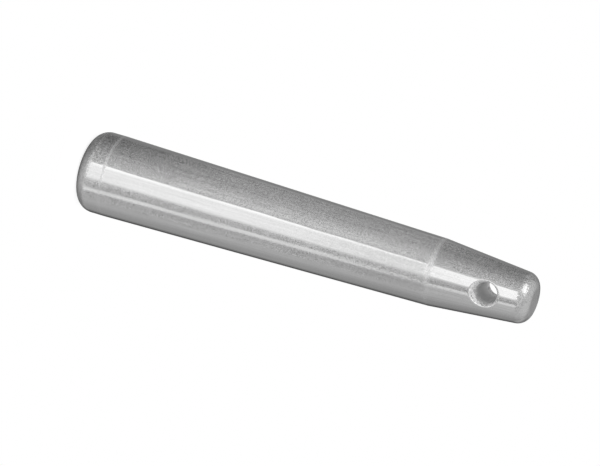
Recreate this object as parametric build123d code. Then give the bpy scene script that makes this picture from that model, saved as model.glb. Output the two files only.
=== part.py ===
from build123d import *
import os
from math import radians, tan

# Conical coupler pin, turned from one steel bar and cross-drilled for a spring clip.
# Millimetres and degrees. The pin stands on its large end: the origin is the centre of that
# end's flat face, +Z runs up the axis towards the nose, and the clip hole runs along Y.

# Driving dimensions of the turned profile
overall_length = 75.0
head_diameter = 13.0        # parallel land at the large end
land_length = 4.7           # large end face to the start of the long taper
taper_end_diameter = 10.7   # where the long taper meets the nose
nose_length = 15.9          # start of the steeper nose to the small end face
nose_end_diameter = 7.8     # nose cone carried on to the small end face
head_edge_radius = 2.4
nose_edge_radius = 2.2

# Driving dimensions of the clip hole
bore_diameter = 3.5
bore_setback = 6.75         # small end face to the hole's centre line
sink_width = 0.56           # how much wider than the bore each mouth is, all round
sink_angle = 60.0           # included angle of both countersinks

# Most of a land or face that a rounded edge may take up
edge_share = 0.85

# Sizes that follow
head_radius = head_diameter / 2
taper_end_radius = taper_end_diameter / 2
nose_end_radius = nose_end_diameter / 2
taper_top = overall_length - nose_length
bore_radius = bore_diameter / 2
bore_height = overall_length - bore_setback
sink_slope = tan(radians(sink_angle / 2))
head_rounding = min(head_edge_radius, edge_share * land_length)
nose_rounding = min(nose_edge_radius, edge_share * nose_end_radius)


def side_radius(height):
    """Radius of the pin's side at a height above the large end's face."""
    if height < taper_top:
        share = (height - land_length) / (taper_top - land_length)
        return head_radius + share * (taper_end_radius - head_radius)
    share = (height - taper_top) / nose_length
    return taper_end_radius + share * (nose_end_radius - taper_end_radius)


# Distance from the axis to where the straight bore wall ends and a countersink begins
sink_floor = side_radius(bore_height) - sink_width / sink_slope
sink_reach = head_radius - sink_floor


def turned_blank():
    """The turned pin: land, long taper and nose, with both ends rounded."""
    with BuildPart() as blank:
        with BuildSketch(Plane.XZ):
            with BuildLine():
                Polyline(
                    (0, 0),
                    (head_radius, 0),
                    (head_radius, land_length),
                    (taper_end_radius, taper_top),
                    (nose_end_radius, overall_length),
                    (0, overall_length),
                    close=True,
                )
            make_face()
        revolve(axis=Axis.Z)
        fillet(blank.edges().group_by(Axis.Z)[0], radius=head_rounding)
        fillet(blank.edges().group_by(Axis.Z)[-1], radius=nose_rounding)
    return blank.part


def clip_hole():
    """The through bore with a countersink at each mouth, as the solid that is cut away."""
    with BuildPart() as hole:
        with Locations(Plane(origin=(0, 0, bore_height), z_dir=(0, 1, 0))):
            Cylinder(bore_radius, 2 * head_radius)
        for side in (-1, 1):
            with Locations(Plane(origin=(0, side * sink_floor, bore_height), z_dir=(0, side, 0))):
                Cone(
                    bore_radius,
                    bore_radius + sink_reach * sink_slope,
                    sink_reach,
                    align=(Align.CENTER, Align.CENTER, Align.MIN),
                )
    return hole.part


taper_pin = turned_blank() - clip_hole()

os.makedirs("parts", exist_ok=True)
export_step(taper_pin, "parts/taper_pin.step")
print(f"bore wall {2 * sink_floor:.3f} mm long, pin volume {taper_pin.volume:.1f} mm3")
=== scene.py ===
import logging
from dataclasses import dataclass
from enum import Enum
from math import cos, degrees, pi, prod, radians, sin, tan
from typing import Any, Mapping, Optional, Sequence, Union

import bmesh
import bpy
from mathutils import Matrix, Vector


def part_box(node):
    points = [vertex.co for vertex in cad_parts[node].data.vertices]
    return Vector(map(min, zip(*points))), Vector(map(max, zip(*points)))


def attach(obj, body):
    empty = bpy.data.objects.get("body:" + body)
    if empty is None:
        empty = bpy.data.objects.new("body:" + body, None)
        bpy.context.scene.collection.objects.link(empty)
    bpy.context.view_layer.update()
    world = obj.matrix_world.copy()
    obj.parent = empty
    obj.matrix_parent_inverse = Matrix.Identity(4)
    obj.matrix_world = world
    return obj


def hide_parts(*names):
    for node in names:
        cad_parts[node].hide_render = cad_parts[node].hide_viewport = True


MM = 0.001
NODE = "taper_pin"
BODY = "root"
DEPTH_ATTRIBUTE = "hole_depth"

WHITE = (1.0, 1.0, 1.0, 1.0)
MIDDLE = 0.5  # of a noise, a random number, a unit grid's side and a colour ramp
CIRCLE = 360.0  # in degrees
DEGREES = degrees(1.0)  # in a radian
MIX_FIRST = 6  # a Mix node's two colour inputs, and its colour output
MIX_SECOND = 7
MIX_RESULT = 2

log = logging.getLogger("taper_pin")
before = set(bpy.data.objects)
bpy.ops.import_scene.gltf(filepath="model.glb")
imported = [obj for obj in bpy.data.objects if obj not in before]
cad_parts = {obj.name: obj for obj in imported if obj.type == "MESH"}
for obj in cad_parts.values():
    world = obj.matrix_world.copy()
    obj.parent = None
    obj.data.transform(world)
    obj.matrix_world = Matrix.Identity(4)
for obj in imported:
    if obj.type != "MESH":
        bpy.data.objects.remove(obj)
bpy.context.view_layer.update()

Number = Union["Field", float, int]
Corner = tuple[Number, Number]  # its radius and its height
Socket = bpy.types.NodeSocket
Arrow = Union[Socket, tuple[float, float, float]]
Settings = Optional[Mapping[str, Any]]
Sockets = Optional[Mapping[Union[str, int], Any]]
Rise = tuple[float, float]  # where something begins, and where it is full
Stops = tuple[tuple[float, float], ...]  # places, and the levels there


class Field:
    """A number socket of a node tree, so that sums on it add the tree's Math nodes."""

    def __init__(self, tree: "Tree", socket: Socket) -> None:
        """Wraps a socket of the tree."""
        self.tree = tree
        self.socket = socket

    def apply(self, operation: str, *others: Number) -> "Field":
        """Returns this number put through a Math operation with the others."""
        return self.tree.math(operation, self, *others)

    def __add__(self, other: Number) -> "Field":
        """Returns self + other."""
        return self.apply("ADD", other)

    __radd__ = __add__

    def __sub__(self, other: Number) -> "Field":
        """Returns self - other."""
        return self.apply("SUBTRACT", other)

    def __rsub__(self, other: Number) -> "Field":
        """Returns other - self."""
        return self.tree.math("SUBTRACT", other, self)

    def __mul__(self, other: Number) -> "Field":
        """Returns self * other."""
        return self.apply("MULTIPLY", other)

    __rmul__ = __mul__

    def __truediv__(self, other: Number) -> "Field":
        """Returns self / other."""
        return self.apply("DIVIDE", other)

    def __neg__(self) -> "Field":
        """Returns -self."""
        return self.apply("MULTIPLY", -1.0)

    def sine(self) -> "Field":
        """Returns the sine of this angle."""
        return self.apply("SINE")

    def cosine(self) -> "Field":
        """Returns the cosine of this angle."""
        return self.apply("COSINE")

    def root(self) -> "Field":
        """Returns the square root."""
        return self.apply("SQRT")

    def size(self) -> "Field":
        """Returns the absolute value."""
        return self.apply("ABSOLUTE")

    def bell(self, centre: Number, width: Number) -> "Field":
        """Returns 1 at the centre, falling smoothly to 0 over about the width on both sides."""
        offset = (self - centre) / width
        return (-(offset * offset)).apply("EXPONENT")

    def step(self, low: Number, high: Number) -> "Field":
        """Returns 0 below low and 1 above high, with a smooth rise between them."""
        sockets = {"Value": self, "From Min": low, "From Max": high}
        return self.tree.number(0, "ShaderNodeMapRange", {"interpolation_type": "SMOOTHSTEP"}, sockets)


class Tree:
    """Adds nodes to a node tree from their type, their settings and their sockets' values."""

    def __init__(self, tree: bpy.types.NodeTree) -> None:
        """Wraps a node tree of any kind."""
        self.tree = tree

    @classmethod
    def emptied(cls, owner: Union[bpy.types.Material, bpy.types.World]) -> "Tree":
        """Takes out the nodes that a new material or world comes with.

        Args:
            owner: the material or world.

        Returns:
            Its empty tree.
        """
        owner.use_nodes = True
        owner.node_tree.nodes.clear()
        return cls(owner.node_tree)

    def node(self, kind: str, settings: Settings = None, sockets: Sockets = None) -> bpy.types.Node:
        """Adds one node.

        Args:
            kind: the node's type name.
            settings: its properties, set first.
            sockets: for each input, by name or place, a value, a socket, a Field or a list of sockets.

        Returns:
            The new node.
        """
        made = self.tree.nodes.new(kind)
        for name, value in (settings or {}).items():
            setattr(made, name, value)
        for key, value in (sockets or {}).items():
            self.set(made.inputs[key], value)
        return made

    def set(self, socket: Socket, value: Any) -> None:
        """Links an input, or sets its value.

        Args:
            socket: the input.
            value: a Field, a socket or a list of sockets to link it to, or a plain value.
        """
        if isinstance(value, list):
            for one in value:
                self.tree.links.new(one, socket)
        elif isinstance(value, Field):
            self.tree.links.new(value.socket, socket)
        elif isinstance(value, Socket):
            self.tree.links.new(value, socket)
        else:
            socket.default_value = value

    def number(
        self, output: Union[str, int], kind: str, settings: Settings = None, sockets: Sockets = None
    ) -> Field:
        """Adds one node and returns one of its outputs as a number."""
        return Field(self, self.node(kind, settings, sockets).outputs[output])

    def math(self, operation: str, *values: Number) -> Field:
        """Returns the result of a Math node on the values."""
        return self.number(0, "ShaderNodeMath", {"operation": operation}, dict(enumerate(values)))

    def vector(self, x: Number, y: Number, z: Number) -> Socket:
        """Returns a vector socket made of three numbers."""
        return self.node("ShaderNodeCombineXYZ", None, {0: x, 1: y, 2: z}).outputs[0]

    def arrows(self, operation: str, *vectors: Arrow) -> Socket:
        """Returns the vector that a Vector Math node makes of the vectors."""
        sockets = dict(enumerate(vectors))
        return self.node("ShaderNodeVectorMath", {"operation": operation}, sockets).outputs[0]

    def split(self, vector: Socket) -> tuple[Field, Field, Field]:
        """Returns a vector's three numbers."""
        x, y, z = self.node("ShaderNodeSeparateXYZ", None, {0: vector}).outputs
        return Field(self, x), Field(self, y), Field(self, z)

    def point(self) -> Socket:
        """Returns the Object coordinates, in millimetres."""
        sockets = {0: self.node("ShaderNodeTexCoord").outputs["Object"], "Scale": 1 / MM}
        return self.node("ShaderNodeVectorMath", {"operation": "SCALE"}, sockets).outputs[0]

    def blend(self, share: Number, low: Number, high: Number) -> Field:
        """Returns low where the share is 0 and high where it is 1."""
        return low + (high - low) * share


def placed(name: str, data: Union[bpy.types.Mesh, bpy.types.Camera]) -> bpy.types.Object:
    """Puts a new object in the scene, at the origin.

    Args:
        name: the object's name.
        data: its mesh or camera.

    Returns:
        The object.
    """
    made = bpy.data.objects.new(name, data)
    bpy.context.scene.collection.objects.link(made)
    return made


@dataclass(frozen=True)
class Pattern:
    """A noise: its size in millimetres, how many finer layers it has, and how strong those are."""

    size: float
    detail: float = 1.0
    roughness: float = 0.5

    def over(self, tree: Tree, place: Socket) -> Field:
        """Lays the noise over a surface.

        Args:
            tree: the material's tree.
            place: the place on the surface, in millimetres.

        Returns:
            A number from 0 to 1.
        """
        scale = 1 / self.size
        sockets = {"Vector": place, "Scale": scale, "Detail": self.detail, "Roughness": self.roughness}
        return tree.number("Fac", "ShaderNodeTexNoise", None, sockets)


@dataclass(frozen=True)
class Band:
    """A band round the pin where its finish differs, such as a turned ring or a worn end.

    Its place is a height on the pin, in millimetres, and it fades out over its width on both sides.
    """

    place: float
    width: float
    strength: float = 1.0

    def share(self, z: Field) -> Field:
        """Returns how much of the band shows at a height."""
        return z.bell(self.place, self.width) * self.strength


@dataclass(frozen=True)
class ZincPlating:
    """Bright zinc over turned steel: a soft mirror with a fine grain that scatters the light.

    Sizes are in millimetres, tilts of the surface in plain slope, and tones are parts of the colour.
    A rise round the pin is told by the cosine of the bearing from its stained side.
    """

    colour: tuple[float, float, float] = (0.69, 0.69, 0.69)
    shine: float = 0.05  # roughness between the grains
    grain_roughness: float = 0.12  # roughness on the coarsest grains
    grain_size: float = 0.115
    grain_slope: float = 0.09
    grain_tone: float = 0.06
    clouds: Pattern = Pattern(2.4, detail=3.0, roughness=0.55)
    cloud_tone: float = 0.05
    streaks: Pattern = Pattern(0.34, detail=2.0, roughness=0.6)  # the size is their width
    streak_length: float = 9.0
    streak_tone: float = 0.22
    streak_slope: float = 0.06  # how far they tip the skin round the pin
    stain_rise: Rise = (0.75, 1.0)
    stain_tone: float = 0.16  # what the streaks gain on the stained side
    axis_guard: float = 0.01  # square millimetres, so that nothing is divided by 0 on the axis
    mark_roughness: float = 0.50  # on the turned rings
    mark_slope: float = 0.18
    mark_tone: float = 0.17
    mark_speckle: float = 0.45
    wear_rise: Rise = (-0.25, 0.3)
    wear_least: float = 0.25  # what is left of rings and worn ends on the clean side
    edge_roughness: float = 0.07  # what a rounded end gains
    edge_tone: float = 0.42  # how much its grains differ
    edge_slope: float = 0.05  # and how much further they tip
    dents: Pattern = Pattern(0.34)  # the small dents of its wear
    dent_depth: float = 0.05
    pits: Pattern = Pattern(0.30)  # and its dark pits
    pit_rise: Rise = (0.55, 0.72)  # the part of their noise that makes a pit
    pit_tone: float = 0.16
    blotch_rise: Rise = (0.3, 0.6)
    blotch_tone: float = 1.40  # how patchy the land is on the stained side
    land_painted_shade: float = 0.05  # painted shade: how much darker it is there
    chatter: Pattern = Pattern(0.36, detail=2.0, roughness=0.6)  # the drill's marks in the countersink
    chatter_tone: float = 4.2
    chatter_reach: float = 3.0  # how far they shift its border down the bore, in its own depths
    rim_depth: float = 0.12  # where the painted highlight on the hole's rim is brightest
    rim_spread: float = 0.8  # as a share of that depth, like the next two
    rim_rise: Rise = (0.0, 0.4)
    sink_rise: Rise = (0.2, 0.8)  # where the countersink's finish and painted light take over
    # painted highlight along the hole's rim
    rim_painted_highlight: float = 0.12
    sink_roughness: float = 0.40
    # painted light: raises the countersink's colour where its recess is shaded
    sink_painted_light: float = 0.48
    sink_dullness: float = 0.5  # how far it is from bare metal
    bore_rises: tuple[Rise, Rise] = ((1.3, 1.8), (2.3, 2.9))  # in depths of the countersink
    bore_roughness: float = 0.62
    # painted light: raises the bore's colour where the recess is shaded
    bore_painted_light: float = 0.17

    def material(self, pin: "TaperPin") -> bpy.types.Material:
        """Makes the plating's material for a pin.

        Args:
            pin: the pin whose turned rings and hole the finish follows.

        Returns:
            The material, which reads Object coordinates and the hole's depth attribute.
        """
        made = bpy.data.materials.new("zinc_plating")
        tree = Tree.emptied(made)
        skin = PinSkin(tree, pin, self)
        sockets = {
            "Base Color": skin.colour(),
            "Metallic": skin.metal(),
            "Roughness": skin.roughness(),
            "Normal": skin.normal(),
        }
        shader = tree.node("ShaderNodeBsdfPrincipled", None, sockets)
        tree.node("ShaderNodeOutputMaterial", None, {"Surface": shader.outputs[0]})
        return made


class PinSkin:
    """The masks of the plating over one pin, and the looks that are mixed from them.

    A mask is 0 where a feature is absent and about 1 where it is full. Patterns lie evenly about 0.
    """

    def __init__(self, tree: Tree, pin: "TaperPin", finish: ZincPlating) -> None:
        """Adds the masks to a material's tree.

        Args:
            tree: the material's tree.
            pin: the pin whose rings, ends and hole they follow.
            finish: the plating's sizes and strengths.
        """
        self.tree = tree
        self.finish = finish
        self.point = tree.point()
        x, y, z = tree.split(self.point)
        radius = (x * x + y * y + finish.axis_guard).root()
        around = pin.head_radius
        stretch = finish.streaks.size / finish.streak_length
        along = tree.vector(x / radius * around, y / radius * around, z * stretch)

        self.clouds = finish.clouds.over(tree, self.point) - MIDDLE
        self.streaks = finish.streaks.over(tree, along) - MIDDLE
        self.chatter = finish.chatter.over(tree, self.point) - MIDDLE
        self.speckle, self.lean = self._grains()

        side = -x / radius
        self.stained = side.step(*finish.stain_rise)
        wear = tree.blend(side.step(*finish.wear_rise), finish.wear_least, 1.0)
        self.marks = self._strongest(z, pin.tool_marks()) * wear
        self.ends = self._strongest(z, pin.worn_ends()) * wear
        self.land = pin.stained_land().share(z) * side.step(*finish.blotch_rise)
        self.dents = finish.dents.over(tree, self.point) * self.ends
        pitted = finish.pits.over(tree, tree.vector(z, x, y))
        self.pits = pitted.step(*finish.pit_rise) * self.ends

        # the hole's masks: the rim's carries a painted highlight, the countersink's and the bore's painted
        # light
        depth = tree.number("Fac", "ShaderNodeAttribute", {"attribute_name": DEPTH_ATTRIBUTE})
        shallow = depth / finish.rim_depth
        self.rim = shallow.bell(1.0, finish.rim_spread) * shallow.step(*finish.rim_rise)
        self.sunk = shallow.step(*finish.sink_rise)
        deep = depth / pin.sink_depth + self.chatter * finish.chatter_reach
        upper, lower = finish.bore_rises
        self.bored = (deep.step(*upper) + deep.step(*lower)) / 2

    def _grains(self) -> tuple[Field, Field]:
        """Gives every crystal of the zinc two numbers of its own.

        Returns:
            Two patterns from -0.5 to 0.5 that differ from one crystal to the next.
        """
        sockets = {"Vector": self.point, "Scale": 1 / self.finish.grain_size}
        cells = self.tree.node("ShaderNodeTexVoronoi", None, sockets)
        speckle, lean, _ = self.tree.split(cells.outputs["Color"])
        return speckle - MIDDLE, lean - MIDDLE

    @staticmethod
    def _strongest(z: Field, bands: Sequence[Band]) -> Field:
        """Joins several bands.

        Args:
            z: the height on the pin.
            bands: the bands.

        Returns:
            The strongest of them at that height, from 0 to 1.
        """
        found = bands[0].share(z)
        for band in bands[1:]:
            found = found.apply("MAXIMUM", band.share(z))
        return found

    def colour(self) -> Socket:
        """Mixes the colour.

        Returns:
            The plating's colour, toned by its patterns, its wear and the hole, with painted light in the
            hole, a painted highlight on its rim and painted shade on the land.
        """
        look = self.finish
        tone = 1.0 + self.clouds * look.cloud_tone + self.speckle * look.grain_tone
        tone = tone + self.streaks * (self.stained * look.stain_tone + look.streak_tone)
        tone = tone + self.ends * self.speckle * look.edge_tone - self.pits * look.pit_tone
        tone = tone + self.marks * (self.speckle * look.mark_speckle + look.mark_tone)
        # patchy blotches and painted shade on the land's stained side
        tone = tone + self.land * (self.chatter * look.blotch_tone - look.land_painted_shade)
        # painted light in the countersink and the bore, and a painted highlight on the hole's rim
        sink_painted_light = 1.0 + look.sink_painted_light + self.chatter * look.chatter_tone
        tone = self.tree.blend(self.sunk, tone, sink_painted_light)
        tone = self.tree.blend(self.bored, tone, 1.0 + look.bore_painted_light)
        tone = tone + self.rim * look.rim_painted_highlight
        grey = self.tree.vector(tone, tone, tone)
        tinted = self.tree.node(
            "ShaderNodeMix",
            {"data_type": "RGBA", "blend_type": "MULTIPLY"},
            {"Factor": 1.0, MIX_FIRST: (*look.colour, 1.0), MIX_SECOND: grey},
        )
        return tinted.outputs[MIX_RESULT]

    def metal(self) -> Field:
        """Returns how metallic the skin is: less so in the countersink."""
        return 1.0 - self.sunk * (1.0 - self.bored) * self.finish.sink_dullness

    def roughness(self) -> Field:
        """Mixes the roughness.

        Returns:
            The skin's roughness, from the grains, the wear and the hole.
        """
        look = self.finish
        rough = self.tree.blend(self.speckle + MIDDLE, look.shine, look.grain_roughness)
        rough = rough + self.ends * look.edge_roughness
        rough = self.tree.blend(self.marks, rough, look.mark_roughness)
        rough = self.tree.blend(self.sunk.apply("MAXIMUM", self.rim), rough, look.sink_roughness)
        return self.tree.blend(self.bored, rough, look.bore_roughness)

    def normal(self) -> Socket:
        """Tips and dents the skin.

        Returns:
            Its normal, tipped by the grains and the streaks, with the dents on it.
        """
        look = self.finish
        up = self.lean * (self.ends * look.edge_slope + self.marks * look.mark_slope + look.grain_slope)
        sockets = {
            "Strength": 1.0,
            "Distance": look.dent_depth * MM,
            "Height": self.dents,
            "Normal": self._tipped(up, self.streaks * look.streak_slope),
        }
        return self.tree.node("ShaderNodeBump", None, sockets).outputs[0]

    def _tipped(self, up: Field, around: Field) -> Socket:
        """Tips the skin's normal.

        Args:
            up: the slope along the turned profile.
            around: the slope round the pin.

        Returns:
            The direction that the skin then looks in.
        """
        tree = self.tree
        skin = tree.node("ShaderNodeNewGeometry").outputs["Normal"]
        x, y, _ = tree.split(self.point)
        level = tree.node(
            "ShaderNodeVectorTransform",
            {"vector_type": "VECTOR", "convert_from": "OBJECT", "convert_to": "WORLD"},
            {0: tree.vector(-y, x, 0.0)},
        )
        turned = tree.arrows("NORMALIZE", level.outputs[0])
        along = tree.arrows("CROSS_PRODUCT", skin, turned)
        tip = tree.arrows("MULTIPLY", along, tree.vector(up, up, up))
        swing = tree.arrows("MULTIPLY", turned, tree.vector(around, around, around))
        return tree.arrows("NORMALIZE", tree.arrows("ADD", skin, tree.arrows("ADD", tip, swing)))


@dataclass
class TaperPin:
    """The turned pin with its clip hole, in millimetres, standing on its large end.

    The overall length and the head's diameter come from the frame.
    """

    overall_length: float
    head_diameter: float
    land_length: float = 4.7
    taper_end_diameter: float = 10.7
    nose_length: float = 15.9
    nose_end_diameter: float = 7.8
    head_edge_radius: float = 2.4
    nose_edge_radius: float = 2.2
    bore_diameter: float = 3.5
    bore_setback: float = 6.75  # from the small end
    sink_width: float = 0.56
    sink_angle: float = 60.0  # in degrees, from side to side
    rim_softness: float = 0.38  # how far the mouth's edge is worn round
    mouth_reach: float = 2.9  # half the height of the patch of skin round each mouth
    columns: int = 192  # facets round the pin
    mouth_columns: int = 40  # how many of them each mouth's patch takes
    mouth_rows: int = 32
    mouth_rings: int = 44
    finish: ZincPlating = ZincPlating()

    @property
    def head_radius(self) -> float:
        """Radius of the parallel land."""
        return self.head_diameter / 2

    @property
    def sink_slope(self) -> float:
        """How far the countersink widens for each millimetre of its depth."""
        return tan(radians(self.sink_angle / 2))

    @property
    def sink_depth(self) -> float:
        """Depth of the countersink below the skin."""
        return self.sink_width / self.sink_slope

    def tool_marks(self) -> tuple[Band, ...]:
        """Returns the rings where the cones meet, and where the land turns into the rounded edge."""
        return (
            Band(self.head_edge_radius - 0.2, width=0.28, strength=0.6),
            Band(self.land_length, width=0.25, strength=0.9),
            Band(self.overall_length - self.nose_length, width=0.45),
        )

    def worn_ends(self) -> tuple[Band, ...]:
        """Returns the two rounded ends, where the grain is coarser."""
        head, nose = self.head_edge_radius, self.nose_edge_radius
        return (
            Band(head * 0.6, width=head * 0.45, strength=0.6),
            Band(self.overall_length - nose * 0.45, width=nose * 0.45),
        )

    def stained_land(self) -> Band:
        """Returns the land at the head, which is patchy and has painted shade on the stained side."""
        return Band(self.land_length * 0.55, width=self.land_length / 2)

    def sizes(self) -> dict[str, float]:
        """Returns the shape tree's sizes by input name: metres, and one plain slope."""
        return {
            "Overall Length": self.overall_length * MM,
            "Head Radius": self.head_radius * MM,
            "Land Length": self.land_length * MM,
            "Taper End Radius": self.taper_end_diameter / 2 * MM,
            "Nose Length": self.nose_length * MM,
            "Nose End Radius": self.nose_end_diameter / 2 * MM,
            "Head Edge Radius": self.head_edge_radius * MM,
            "Nose Edge Radius": self.nose_edge_radius * MM,
            "Bore Radius": self.bore_diameter / 2 * MM,
            "Bore Setback": self.bore_setback * MM,
            "Sink Width": self.sink_width * MM,
            "Sink Slope": self.sink_slope,
            "Rim Softness": self.rim_softness * MM,
            "Mouth Reach": self.mouth_reach * MM,
        }

    def counts(self) -> dict[str, int]:
        """Returns the shape tree's facet counts by input name."""
        return {
            "Columns": self.columns,
            "Mouth Columns": self.mouth_columns,
            "Mouth Rows": self.mouth_rows,
            "Mouth Rings": self.mouth_rings,
        }

    def build(self) -> bpy.types.Object:
        """Makes the pin's mesh with its shape tree and dresses it.

        Returns:
            The finished piece, as a plain mesh at the origin.
        """
        material = self.finish.material(self)
        shape = PinShape(self.sizes(), self.counts(), material)
        piece = shape.piece("pin_body")
        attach(piece, BODY)
        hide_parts(NODE)
        return piece


class PinShape:
    """The Geometry Nodes tree that turns the pin's profile and drills and countersinks its hole.

    Every strip is a unit grid that is wrapped or moved: turn runs from 0 to 1 across it and rise from
    0 to 1 up it. The rows are each strip's facets along the pin, and the wall's along the bore.
    """

    FACE_ROWS = 8
    ROUND_ROWS = 26
    LAND_ROWS = 10
    TAPER_ROWS = 64
    NOSE_ROWS = 18
    WALL_ROWS = 40
    MOUTH_TURN = 0.25  # how far each mouth lies from half a turn
    WELD = 1e-6  # metres within which points are joined

    def __init__(
        self, sizes: Mapping[str, float], counts: Mapping[str, int], material: bpy.types.Material
    ) -> None:
        """Builds the tree.

        Args:
            sizes: the tree's sizes, by input name.
            counts: its facet counts, by input name.
            material: what the finished mesh wears.
        """
        self.sizes = dict(sizes)
        self.counts = dict(counts)
        self.material = material
        self.group = bpy.data.node_groups.new("pin_shape", "GeometryNodeTree")
        self.tree = Tree(self.group)
        self.sockets: dict[str, str] = {}
        self.inputs = self._interface()
        across, up, _ = self.tree.split(self.tree.node("GeometryNodeInputPosition").outputs[0])
        self.turn = across + MIDDLE
        self.rise = up + MIDDLE

        self.length = self.size("Overall Length")
        nose_length = self.size("Nose Length")
        self.taper_top = self.length - nose_length
        self.slope = (self.size("Taper End Radius") - self.size("Nose End Radius")) / nose_length
        self.hole = self.length - self.size("Bore Setback")
        self.sink_floor = self.flank(self.hole) - self.size("Sink Width") / self.size("Sink Slope")
        self._assemble()

    def _interface(self) -> bpy.types.Node:
        """Returns:
            The node that hands the inputs on.
        """
        declared = self.group.interface
        kinds = {name: "NodeSocketFloat" for name in self.sizes}
        kinds.update({name: "NodeSocketInt" for name in self.counts})
        for name, kind in kinds.items():
            made = declared.new_socket(name=name, in_out="INPUT", socket_type=kind)
            self.sockets[name] = made.identifier
        declared.new_socket(name="Pin", in_out="OUTPUT", socket_type="NodeSocketGeometry")
        return self.tree.node("NodeGroupInput")

    def size(self, name: str) -> Field:
        """Returns one of the tree's named inputs."""
        return Field(self.tree, self.inputs.outputs[name])

    def flank(self, height: Field) -> Field:
        """Returns the nose cone's radius at a height."""
        return self.size("Taper End Radius") - (height - self.taper_top) * self.slope

    def grid(self, columns: Number, rows: Number) -> Socket:
        """Returns a unit grid with that many points across and up."""
        sockets = {"Size X": 1.0, "Size Y": 1.0, "Vertices X": columns, "Vertices Y": rows}
        return self.tree.node("GeometryNodeMeshGrid", None, sockets).outputs["Mesh"]

    def moved(self, mesh: Socket, x: Field, y: Field, z: Field) -> Socket:
        """Returns the mesh with each point put at x, y and z."""
        sockets = {"Geometry": mesh, "Position": self.tree.vector(x, y, z)}
        return self.tree.node("GeometryNodeSetPosition", None, sockets).outputs[0]

    def turned(self, mesh: Socket, radius: Field, height: Field) -> Socket:
        """Returns the grid wrapped once round the pin's axis at a radius and a height."""
        angle = self.turn * (2 * pi)
        return self.moved(mesh, radius * angle.cosine(), radius * angle.sine(), height)

    def cone(
        self, low: Corner, high: Corner, rows: int = 1, crowd: bool = False, mesh: Optional[Socket] = None
    ) -> Socket:
        """Makes a cone, a cylinder or a flat ring.

        Args:
            low: radius and height of its first edge.
            high: radius and height of its last edge.
            rows: how many rings of facets it has, unless it is given a grid.
            crowd: whether the rings crowd towards both edges, to keep them crisp.
            mesh: a grid to wrap, or None for a plain one.

        Returns:
            The strip's mesh.
        """
        share = (1.0 - (self.rise * pi).cosine()) / 2 if crowd else self.rise
        radius = share * (high[0] - low[0]) + low[0]
        height = share * (high[1] - low[1]) + low[1]
        if mesh is None:
            mesh = self.grid(self.size("Columns") + 1, rows + 1)
        return self.turned(mesh, radius, height)

    def rounding(self, centre: Corner, radius: Number, start: Number, end: Number) -> Socket:
        """Makes a rounded edge.

        Args:
            centre: radius and height of the middle of its arc.
            radius: the arc's radius.
            start: the tilt of the surface at its first edge, in radians.
            end: the tilt at its last edge.

        Returns:
            The strip's mesh.
        """
        tilt = self.rise * (end - start) + start
        mesh = self.grid(self.size("Columns") + 1, self.ROUND_ROWS + 1)
        return self.turned(mesh, tilt.cosine() * radius + centre[0], tilt.sine() * radius + centre[1])

    def _assemble(self) -> None:
        """Joins the turned skin, the two mouths and the bore, welds them and dresses them."""
        strips = self._skin() + self._hole()
        mesh = self.tree.node("GeometryNodeJoinGeometry", None, {0: strips}).outputs[0]
        finishing = (
            ("GeometryNodeMergeByDistance", {"Distance": self.WELD}),
            ("GeometryNodeSetShadeSmooth", {"Shade Smooth": True}),
            ("GeometryNodeRealizeInstances", {}),
            ("GeometryNodeSetMaterial", {"Material": self.material}),
        )
        for kind, sockets in finishing:
            mesh = self.tree.node(kind, None, {0: mesh, **sockets}).outputs[0]
        self.tree.node("NodeGroupOutput", None, {0: mesh})

    def _skin(self) -> list[Socket]:
        """Turns the profile.

        Returns:
            The turned strips, from the large end's face to the small end's.
        """
        length, top = self.length, self.taper_top
        head = self.size("Head Radius")
        land = self.size("Land Length")
        head_edge = self.size("Head Edge Radius")
        nose_edge = self.size("Nose Edge Radius")
        taper_end = self.size("Taper End Radius")
        tilt = self.slope.apply("ARCTANGENT")
        face_radius = self.size("Nose End Radius") - nose_edge * (1.0 - tilt.sine()) / tilt.cosine()
        centre = (face_radius, length - nose_edge)
        edge = (centre[0] + nose_edge * tilt.cosine(), centre[1] + nose_edge * tilt.sine())
        below = self.hole - self.size("Mouth Reach")
        above = self.hole + self.size("Mouth Reach")
        return [
            self.cone((0.0, 0.0), (head - head_edge, 0.0), self.FACE_ROWS),
            self.rounding((head - head_edge, head_edge), head_edge, -pi / 2, 0.0),
            self.cone((head, head_edge), (head, land), self.LAND_ROWS, crowd=True),
            self.cone((head, land), (taper_end, top), self.TAPER_ROWS, crowd=True),
            self.cone((taper_end, top), (self.flank(below), below), self.NOSE_ROWS, crowd=True),
            self.cone((self.flank(below), below), (self.flank(above), above), mesh=self._open_grid()),
            self.cone((self.flank(above), above), edge, self.FACE_ROWS),
            self.rounding(centre, nose_edge, tilt, pi / 2),
            self.cone((face_radius, length), (0.0, length), self.FACE_ROWS),
        ]

    def _open_grid(self) -> Socket:
        """Makes the grid for the hole's stretch of skin.

        Returns:
            The grid, with a window left open for each mouth's patch.
        """
        mesh = self.grid(self.size("Columns") + 1, self.size("Mouth Rows") + 1)
        half_width = self.size("Mouth Columns") / 2 / self.size("Columns")
        from_mouth = ((self.turn - MIDDLE).size() - self.MOUTH_TURN).size()
        sockets = {"Geometry": mesh, "Selection": self.tree.math("LESS_THAN", from_mouth, half_width)}
        return self.tree.node("GeometryNodeDeleteGeometry", {"domain": "FACE"}, sockets).outputs[0]

    def _hole(self) -> list[Socket]:
        """Drills and countersinks the hole, in spokes that run from each window's edge to the bore.

        Returns:
            Both mouths, and the bore's wall between them.
        """
        spokes = (self.size("Mouth Columns") + self.size("Mouth Rows")) * 2.0 + 1
        bore = self.size("Bore Radius")
        edge = self._window_edge()
        bearing = self.tree.math("ARCTAN2", edge[1], edge[0])
        wall = (bearing.cosine() * bore, bearing.sine() * bore)
        return [*self._mouths(spokes, edge, wall), self._wall(spokes, wall)]

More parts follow.
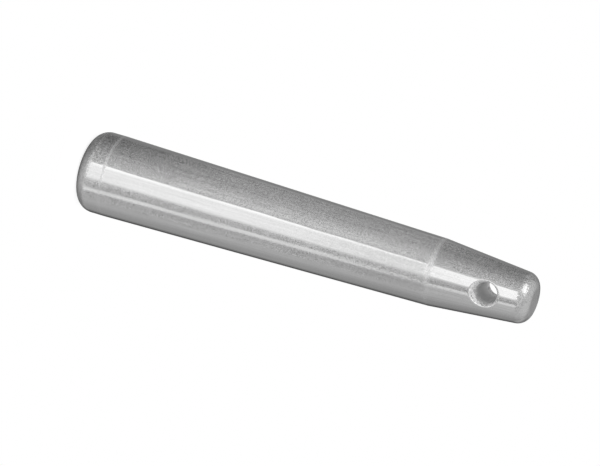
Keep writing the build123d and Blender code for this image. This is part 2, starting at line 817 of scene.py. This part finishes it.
    def _window_edge(self) -> tuple[Field, Field]:
        """Follows the edge of a mouth's window once round, facet by facet.

        Returns:
            How far the edge lies beside the hole's middle, and how far above it.
        """
        columns, rows = self.size("Mouth Columns"), self.size("Mouth Rows")
        sides = {"Width": columns, "Height": rows}
        window = self.tree.node("GeometryNodeCurvePrimitiveQuadrilateral", None, sides)
        sampled = self.tree.node(
            "GeometryNodeSampleCurve",
            {"mode": "FACTOR", "use_all_curves": True},
            {"Curves": window.outputs[0], "Factor": self.turn},
        )
        column, row, _ = self.tree.split(sampled.outputs["Position"])
        above = row * (self.size("Mouth Reach") * 2.0) / rows
        beside = self.flank(self.hole + above) * (column * (2 * pi) / self.size("Columns")).sine()
        return beside, above

    def _mouths(self, spokes: Field, edge: tuple[Field, Field], wall: tuple[Field, Field]) -> list[Socket]:
        """Makes the patches of skin and countersink round the hole's two ends.

        Args:
            spokes: how many points each patch has round the hole.
            edge: the window's edge, beside and above the hole's middle.
            wall: the bore's wall, beside and above the hole's middle.

        Returns:
            The front patch and the back one.
        """
        x = self.tree.blend(self.rise, edge[0], wall[0])
        z = self.tree.blend(self.rise, edge[1], wall[1])
        radius = self.flank(self.hole + z)
        skin = (radius * radius - x * x).root()
        beyond_bore = (x * x + z * z).root() - self.size("Bore Radius")
        sink = beyond_bore / self.size("Sink Slope") + self.sink_floor
        out = self.tree.math("SMOOTH_MIN", skin, sink, self.size("Rim Softness"))
        patch = self._marked(self.grid(spokes, self.size("Mouth Rings") + 1), skin - out)
        front = self.moved(patch, x, -out, z + self.hole)
        back = self.moved(patch, x, out, z + self.hole)
        return [front, self.tree.node("GeometryNodeFlipFaces", None, {0: back}).outputs[0]]

    def _wall(self, spokes: Field, wall: tuple[Field, Field]) -> Socket:
        """Makes the bore's wall.

        Args:
            spokes: how many points it has round the hole.
            wall: where it runs, beside and above the hole's middle.

        Returns:
            The wall's mesh.
        """
        x, z = wall
        along = (self.rise * 2.0 - 1.0) * self.sink_floor
        radius = self.flank(self.hole + z)
        skin = (radius * radius - x * x).root()
        mesh = self._marked(self.grid(spokes, self.WALL_ROWS + 1), skin - along.size())
        return self.moved(mesh, x, along, z + self.hole)

    def _marked(self, mesh: Socket, depth: Field) -> Socket:
        """Keeps the depth below the skin on a mesh.

        Args:
            mesh: the mesh.
            depth: the depth, in metres.

        Returns:
            The mesh with the depth as an attribute, in millimetres.
        """
        sockets = {"Geometry": mesh, "Name": DEPTH_ATTRIBUTE, "Value": depth / MM}
        return self.tree.node("GeometryNodeStoreNamedAttribute", None, sockets).outputs[0]

    def piece(self, name: str) -> bpy.types.Object:
        """Runs the tree and keeps its result.

        Args:
            name: the piece's name.

        Returns:
            An object at the origin with the result as a plain mesh.
        """
        carrier = placed("pin_shape_carrier", bpy.data.meshes.new("pin_shape_seed"))
        modifier = carrier.modifiers.new("shape", "NODES")
        modifier.node_group = self.group
        for key, value in {**self.sizes, **self.counts}.items():
            modifier[self.sockets[key]] = value
        bpy.context.view_layer.update()
        evaluated = carrier.evaluated_get(bpy.context.evaluated_depsgraph_get())
        mesh = bpy.data.meshes.new_from_object(evaluated)
        carrier.modifiers.remove(modifier)
        bpy.data.objects.remove(carrier)
        mesh.name = name
        return placed(name, mesh)


class Edge(Enum):
    """How wide a light panel's border fades, in degrees."""

    CRISP = 1.0
    FIRM = 3.0
    SOFT = 7.0
    HAZY = 13.0
    FADED = 22.0


@dataclass(frozen=True)
class Panel:
    """A lit patch of the tent between two bearings and two elevations, in degrees.

    Bearings are told from the camera's side and elevations from the tent's middle. Its level is added
    to the tent's own.
    """

    left: float
    right: float
    low: float
    high: float
    level: float
    left_edge: Edge = Edge.SOFT
    right_edge: Edge = Edge.SOFT
    low_edge: Edge = Edge.SOFT
    high_edge: Edge = Edge.SOFT
    lean: float = 0.0  # degrees of bearing per degree of elevation

    def share(self, bearing: Field, elevation: Field) -> Field:
        """Shapes the patch.

        Args:
            bearing: the bearing, in degrees.
            elevation: the elevation, in degrees.

        Returns:
            1 inside the patch and 0 outside.
        """
        at = bearing - elevation * self.lean if self.lean else bearing
        borders = (
            (at, self.left, self.left_edge.value / 2),
            (-at, -self.right, self.right_edge.value / 2),
            (elevation, self.low, self.low_edge.value / 2),
            (-elevation, -self.high, self.high_edge.value / 2),
        )
        sides = [value.step(border - fade, border + fade) for value, border, fade in borders]
        return prod(sides[1:], start=sides[0])


@dataclass(frozen=True)
class Slats:
    """A stretch of the tent ribbed with level slats, which the tilted grains break up into sparkle.

    Bearings, elevations and the slats' pitch are in degrees.
    """

    left: float
    right: float
    low: float
    high: float
    contrast: float
    pitch: float = 2.58

    def share(self, bearing: Field, elevation: Field) -> Field:
        """Shapes the slats.

        Args:
            bearing: the bearing, in degrees.
            elevation: the elevation, in degrees.

        Returns:
            What they add to 1, the tent's own level.
        """
        patch = Panel(self.left, self.right, self.low, self.high, 1.0, Edge.FIRM, Edge.FIRM)
        waves = (elevation * (2 * pi / self.pitch)).sine()
        return patch.share(bearing, elevation) * waves * self.contrast


@dataclass
class Studio:
    """The white background, the pale floor that the pin stands on, and the tent of light round it.

    Lengths are in millimetres, and how far out something lies is told from the pin's axis. The tent's
    walls and ceiling are given as levels by bearing from the camera's side, in degrees.
    """

    facing: float  # bearing of the camera's side, in degrees
    world_light: float = 0.5  # level of the background as a light
    floor_radius: float = 14.0
    floor_sides: int = 96
    floor_colour: float = 0.38
    floor_glow: float = 0.86  # what the floor gains where it is seen
    floor_glint: float = 0.06  # and where the metal mirrors it
    floor_fade: Rise = (0.62, 0.96)  # where it turns white, as shares of its radius
    mirror_fade: Rise = (6.88, 8.6)  # how far out the metal mirrors it
    painted_pool_glint: float = 0.27  # a painted pool of light on it, which only the metal shows
    pool_bearing: float = 15.0  # the pool's middle and spread, in degrees from the camera's side
    pool_spread: float = 38.0
    pool_rise: Rise = (4.9, 6.7)  # how far out the pool begins and is full
    tent_radius: float = 200.0
    tent_height: float = 37.5  # of the tent's centre
    tent_sides: int = 96
    tent_rings: int = 48
    walls: Stops = (
        (-180, 0.34), (-166, 0.36), (-156, 0.26), (-140, 0.27), (-120, 0.22), (-100, 0.29),
        (-80, 0.31), (-60, 0.41), (-48, 0.49), (-34, 0.57), (-20, 0.68), (20, 0.70), (32, 0.63),
        (42, 0.56), (62, 0.52), (80, 0.54), (95, 0.54), (115, 0.415), (135, 0.36), (146, 0.19),
        (156, 0.075), (166, 0.075), (174, 0.30), (180, 0.34),
    )
    ceiling: Stops = (
        (-180, 0.64), (-120, 0.64), (-60, 0.72), (0, 0.70), (30, 0.60), (80, 0.63), (180, 0.64),
    )
    ceiling_rise: Rise = (18.0, 60.0)  # the elevations between which it takes over from the walls
    pit: float = 0.42  # level straight below
    pit_rise: Rise = (58.0, 86.0)  # degrees below the tent's middle between which it takes over
    # broad patches, lighter or darker than the walls
    shades: tuple[Panel, ...] = (
        Panel(43, 66, -56, -34, 0.13),
        Panel(50, 76, -1, 18, 0.08, low_edge=Edge.FIRM),
        Panel(54, 84, -12, -4, -0.04),
        Panel(90, 147, -12, 14, -0.05),
        Panel(-136, -88, -60, -28, -0.06, low_edge=Edge.HAZY, high_edge=Edge.FIRM),
        Panel(-154, -98, 7, 28, 0.07),
        Panel(26, 41, -2, 20, -0.12),
        Panel(34, 52, 5, 16, -0.05),
        Panel(-138, -24, -23, -3, 0.14, left_edge=Edge.HAZY),
        Panel(-130, -15, 10, 30, 0.10),
        Panel(-190, -162, -8, 22, -0.12),
        Panel(134, 172, 4, 36, 0.15),
    )
    # slats on both sides of the bright strip: fine ones across the middle, wide ones above and below
    slats: tuple[Slats, ...] = (
        Slats(-130, -20, -37, 12, 0.52),
        Slats(-116, -20, -60, -31, 0.56),
        Slats(-116, -20, 6, 16, 0.46),
        Slats(26, 46, -60, -28, 0.36),
        Slats(-104, -20, 18, 52, 0.75, pitch=14.0),
        Slats(-160, -20, -80, -38, 0.60, pitch=14.0),
        Slats(26, 46, -37, 12, 0.58),
        Slats(24, 58, 14, 46, 0.50, pitch=14.0),
        Slats(54, 84, -37, -9, 0.46),
    )
    # the bright strip by the camera, the thin line beside it, and the high lamp
    panels: tuple[Panel, ...] = (
        Panel(-18.0, 24.8, -40, -7, 0.48, Edge.CRISP, Edge.HAZY, Edge.FIRM, Edge.FADED),
        Panel(-16.0, 19.6, -2.6, 15, 0.57, left_edge=Edge.FIRM),
        Panel(-16.0, 19.6, 6, 15, 0.12, left_edge=Edge.FIRM),
        Panel(-17.7, -12.0, -40, 4, 0.25, left_edge=Edge.CRISP, low_edge=Edge.FIRM),
        Panel(-18.4, -12.0, -14, -8, 0.12, left_edge=Edge.CRISP),
        Panel(36.4, 47.4, -42, -8.5, 0.40, lean=-0.5),
        Panel(42.5, 51.5, -2, 18, 0.38, left_edge=Edge.FIRM),
        Panel(-80, -24, 28, 64, 0.34, Edge.HAZY, Edge.SOFT, Edge.HAZY, Edge.HAZY),
        Panel(-68, -24, 34, 70, 0.46, Edge.HAZY, Edge.SOFT, Edge.SOFT, Edge.HAZY),
    )

    def build(self) -> list[bpy.types.Object]:
        """Makes the world, the floor and the tent, and returns the last two."""
        self._world()
        return [self._floor(), self._tent()]

    @staticmethod
    def _ray(tree: Tree, kind: str) -> Field:
        """Returns 1 for the light paths of one kind, such as the camera's, and 0 for all others."""
        return tree.number(f"Is {kind} Ray", "ShaderNodeLightPath")

    def _seen(self, tree: Tree) -> Field:
        """Returns 1 for what the camera, a reflection or a clear material shows, and 0 otherwise."""
        indirect = self._ray(tree, "Glossy").apply("MAXIMUM", self._ray(tree, "Transmission"))
        return self._ray(tree, "Camera").apply("MAXIMUM", indirect)

    def _bearing(self, x: Field, y: Field) -> Field:
        """Tells which way a point lies from the pin's axis.

        Args:
            x: its place along X, in any unit.
            y: its place along Y, in the same unit.

        Returns:
            Its bearing from the camera's side, in degrees.
        """
        turn = radians(self.facing)
        toward = x * sin(turn) - y * cos(turn)
        beside = x * cos(turn) + y * sin(turn)
        return beside.apply("ARCTAN2", toward) * DEGREES

    @staticmethod
    def _staged(name: str, mesh: bpy.types.Mesh, look: bpy.types.Material) -> bpy.types.Object:
        """Puts a mesh in the scene as part of the studio.

        Args:
            name: the name of its object.
            mesh: the mesh.
            look: the material that it wears.

        Returns:
            The object.
        """
        mesh.materials.append(look)
        made = placed(name, mesh)
        return made

    def _world(self) -> None:
        """Makes the background white where it is seen, and soft grey as a light."""
        world = bpy.data.worlds.new("studio_world")
        tree = Tree.emptied(world)
        strength = tree.blend(self._seen(tree), self.world_light, 1.0)
        sky = tree.node("ShaderNodeBackground", None, {"Color": WHITE, "Strength": strength})
        tree.node("ShaderNodeOutputWorld", None, {"Surface": sky.outputs[0]})
        bpy.context.scene.world = world

    def _floor(self) -> bpy.types.Object:
        """Makes the floor.

        Returns:
            A disc level with the origin.
        """
        mesh = bpy.data.meshes.new("floor")
        turns = [2 * pi * side / self.floor_sides for side in range(self.floor_sides)]
        reach = self.floor_radius * MM
        corners = [(reach * cos(turn), reach * sin(turn), 0.0) for turn in turns]
        mesh.from_pydata(corners, [], [list(range(self.floor_sides))])
        return self._staged("floor", mesh, self._floor_paint())

    def _floor_paint(self) -> bpy.types.Material:
        """Makes the floor's paint.

        Returns:
            A material that fades into the white background at the rim, and in the metal sooner, with a
            painted pool of light that only the metal shows.
        """
        material = bpy.data.materials.new("pale_floor")
        tree = Tree.emptied(material)
        x, y, _ = tree.split(tree.point())
        outward = (x * x + y * y).root()
        seen = self._seen(tree)
        mirrored = self._ray(tree, "Glossy")
        # painted pool of light on the floor, seen only in reflections
        pool = self._bearing(x, y).bell(self.pool_bearing, self.pool_spread) * self.painted_pool_glint
        pool = pool * outward.step(*self.pool_rise)
        strength = seen * tree.blend(mirrored, self.floor_glow, pool + self.floor_glint)
        grey = (self.floor_colour, self.floor_colour, self.floor_colour, 1.0)
        paint = tree.node("ShaderNodeBsdfDiffuse", None, {"Color": grey}).outputs[0]
        glow = tree.node("ShaderNodeEmission", None, {"Color": WHITE, "Strength": strength}).outputs[0]
        lit = tree.node("ShaderNodeAddShader", None, {0: paint, 1: glow}).outputs[0]
        white = tree.node("ShaderNodeEmission", None, {"Color": WHITE, "Strength": 1.0}).outputs[0]
        rim = seen * (outward / self.floor_radius).step(*self.floor_fade)
        faded = tree.node("ShaderNodeMixShader", None, {0: rim, 1: lit, 2: white}).outputs[0]
        clear = tree.node("ShaderNodeBsdfTransparent").outputs[0]
        beyond = mirrored * outward.step(*self.mirror_fade)
        ended = tree.node("ShaderNodeMixShader", None, {0: beyond, 1: faded, 2: clear}).outputs[0]
        tree.node("ShaderNodeOutputMaterial", None, {"Surface": ended})
        return material

    def _tent(self) -> bpy.types.Object:
        """Makes the tent round the pin.

        Returns:
            A sphere that the camera looks through.
        """
        mesh = bpy.data.meshes.new("light_tent")
        work = bmesh.new()
        bmesh.ops.create_uvsphere(
            work,
            u_segments=self.tent_sides,
            v_segments=self.tent_rings,
            radius=self.tent_radius * MM,
            matrix=Matrix.Translation((0.0, 0.0, self.tent_height * MM)),
        )
        work.to_mesh(mesh)
        work.free()
        tent = self._staged("light_tent", mesh, self._tent_light())
        tent.visible_camera = False
        return tent

    def _tent_light(self) -> bpy.types.Material:
        """Makes the tent's light.

        Returns:
            A material that glows as the walls, the ceiling and all their panels do.
        """
        material = bpy.data.materials.new("tent_light")
        tree = Tree.emptied(material)
        offset = tree.arrows("SUBTRACT", tree.point(), (0.0, 0.0, self.tent_height))
        x, y, z = tree.split(tree.arrows("NORMALIZE", offset))
        bearing = self._bearing(x, y)
        elevation = z.apply("ARCSINE") * DEGREES
        level = self._ramp(self.walls, bearing)
        level = tree.blend(elevation.step(*self.ceiling_rise), level, self._ramp(self.ceiling, bearing))
        level = tree.blend((-elevation).step(*self.pit_rise), level, self.pit)
        for shade in self.shades:
            level = level + shade.share(bearing, elevation) * shade.level
        level = level * sum((slats.share(bearing, elevation) for slats in self.slats), start=1.0)
        for panel in self.panels:
            level = level + panel.share(bearing, elevation) * panel.level
        glow = tree.node("ShaderNodeEmission", None, {"Color": WHITE, "Strength": level})
        tree.node("ShaderNodeOutputMaterial", None, {"Surface": glow.outputs[0]})
        return material

    @staticmethod
    def _ramp(stops: Stops, bearing: Field) -> Field:
        """Makes a level that follows the bearing.

        Args:
            stops: bearings, and the levels there.
            bearing: the bearing, in degrees.

        Returns:
            The level.
        """
        made = bearing.tree.node("ShaderNodeValToRGB", None, {"Fac": bearing / CIRCLE + MIDDLE})
        places = made.color_ramp.elements
        places.remove(places[-1])
        for at, level in stops:
            places.new(at / CIRCLE + MIDDLE).color = (level, level, level, 1.0)
        places.remove(places[0])
        return Field(bearing.tree, made.outputs["Color"])


@dataclass(frozen=True)
class ProductCamera:
    """A long lens that looks down at the pin, turned on its side as the photograph was.

    Angles are in degrees, lengths in millimetres.
    """

    azimuth: float = -16.117
    elevation: float = 17.309
    roll: float = 106.572
    distance: float = 616.75
    aim: tuple[float, float, float] = (0.162, -0.422, 36.343)
    lens: float = 240.0
    sensor: float = 36.0
    nearest: float = 10.0  # what lies closer isn't shown

    def build(self) -> None:
        """Makes the scene's camera."""
        data = bpy.data.cameras.new("product_camera")
        data.lens = self.lens
        data.sensor_width = self.sensor
        data.sensor_fit = "HORIZONTAL"
        data.clip_start = self.nearest * MM
        camera = placed("product_camera", data)
        turn = (
            Matrix.Rotation(radians(self.azimuth), 3, "Z")
            @ Matrix.Rotation(pi / 2 - radians(self.elevation), 3, "X")
            @ Matrix.Rotation(radians(self.roll), 3, "Z")
        )
        back = turn @ Vector((0, 0, 1))
        place = Vector(self.aim) * MM + back * self.distance * MM
        camera.matrix_world = Matrix.Translation(place) @ turn.to_4x4()
        bpy.context.scene.camera = camera


def main() -> None:
    """Builds the camera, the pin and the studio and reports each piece."""
    logging.basicConfig(level=logging.INFO, format="%(message)s")
    bpy.context.scene.view_settings.view_transform = "Standard"
    low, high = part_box(NODE)
    camera = ProductCamera()
    camera.build()
    pin = TaperPin(overall_length=(high.z - low.z) / MM, head_diameter=(high.y - low.y) / MM)
    studio = Studio(facing=camera.azimuth)
    for piece in (pin.build(), *studio.build()):
        log.info("%s: %d faces", piece.name, len(piece.data.polygons))


if __name__ == "__main__":
    main()
